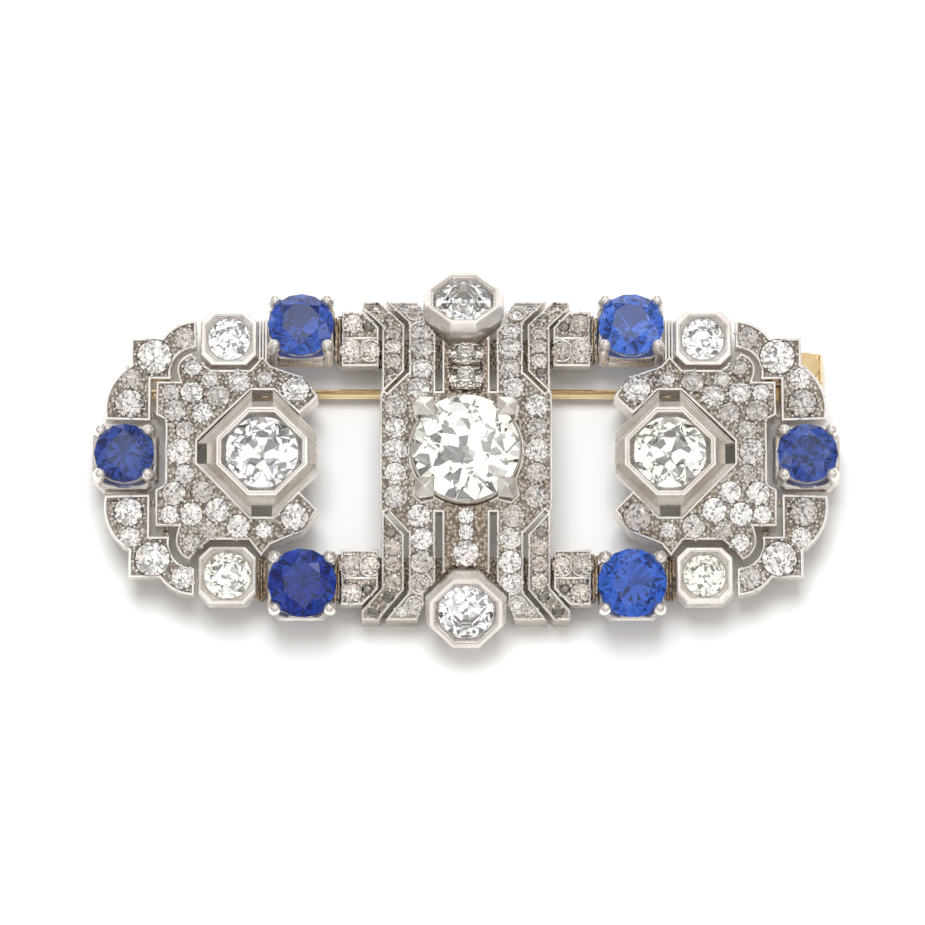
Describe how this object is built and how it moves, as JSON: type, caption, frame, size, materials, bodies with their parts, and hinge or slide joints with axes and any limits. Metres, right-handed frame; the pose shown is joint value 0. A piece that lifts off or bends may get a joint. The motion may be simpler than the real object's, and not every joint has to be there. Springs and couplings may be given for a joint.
{
  "type": "plaque brooch",
  "caption": "Openwork rounded plaque brooch with an arched centre panel, domed end plates, a round centre stone and a hinged pin stem with a catch at the back.",
  "frame": {"origin": "On the resting surface, under the middle of the brooch's box.", "axes": "+X along the width, from the catch at the pin's point to the pin's hinge; +Y up the brooch as it is worn; +Z out of its front face, away from the wearer. The brooch lies on its back."},
  "size_m": [0.058, 0.0298, 0.0088],
  "materials": {
    "platinum": "polished platinum, softly worn",
    "gold": "polished yellow gold",
    "diamond": "faceted clear stone",
    "sapphire": "faceted blue stone"
  },
  "bodies": {
    "brooch": {"centre_panel": "platinum", "upper_bar": "platinum", "lower_bar": "platinum", "left_end_plate": "platinum", "right_end_plate": "platinum", "left_upper_border": "platinum", "left_lower_border": "platinum", "right_upper_border": "platinum", "right_lower_border": "platinum", "centre_collet": "platinum", "left_large_setting": "platinum", "right_large_setting": "platinum", "top_setting": "platinum", "bottom_setting": "platinum", "left_upper_corner_setting": "platinum", "left_lower_corner_setting": "platinum", "right_upper_corner_setting": "platinum", "right_lower_corner_setting": "platinum", "left_upper_collet": "platinum", "left_lower_collet": "platinum", "right_upper_collet": "platinum", "right_lower_collet": "platinum", "left_end_collet": "platinum", "right_end_collet": "platinum", "centre_diamond": "diamond", "left_large_diamond": "diamond", "right_large_diamond": "diamond", "top_diamond": "diamond", "bottom_diamond": "diamond", "left_upper_corner_diamond": "diamond", "left_lower_corner_diamond": "diamond", "right_upper_corner_diamond": "diamond", "right_lower_corner_diamond": "diamond", "left_upper_sapphire": "sapphire", "left_lower_sapphire": "sapphire", "right_upper_sapphire": "sapphire", "right_lower_sapphire": "sapphire", "left_end_sapphire": "sapphire", "right_end_sapphire": "sapphire", "left_plate_stones": "diamond", "right_plate_stones": "diamond", "left_border_stones": "diamond", "right_border_stones": "diamond", "panel_stones": "diamond", "upper_bar_stones": "diamond", "lower_bar_stones": "diamond", "pin_joint": "gold", "pin_catch": "gold"},
    "pin": {"pin_stem": "gold"}
  },
  "joints": [
    {"name": "pin_hinge", "type": "hinge", "parent": "brooch", "child": "pin", "pos_m": [0.0271, 0.0056, 0.00105], "axis": [0, -1, 0], "range_deg": [0, 70]}
  ]
}
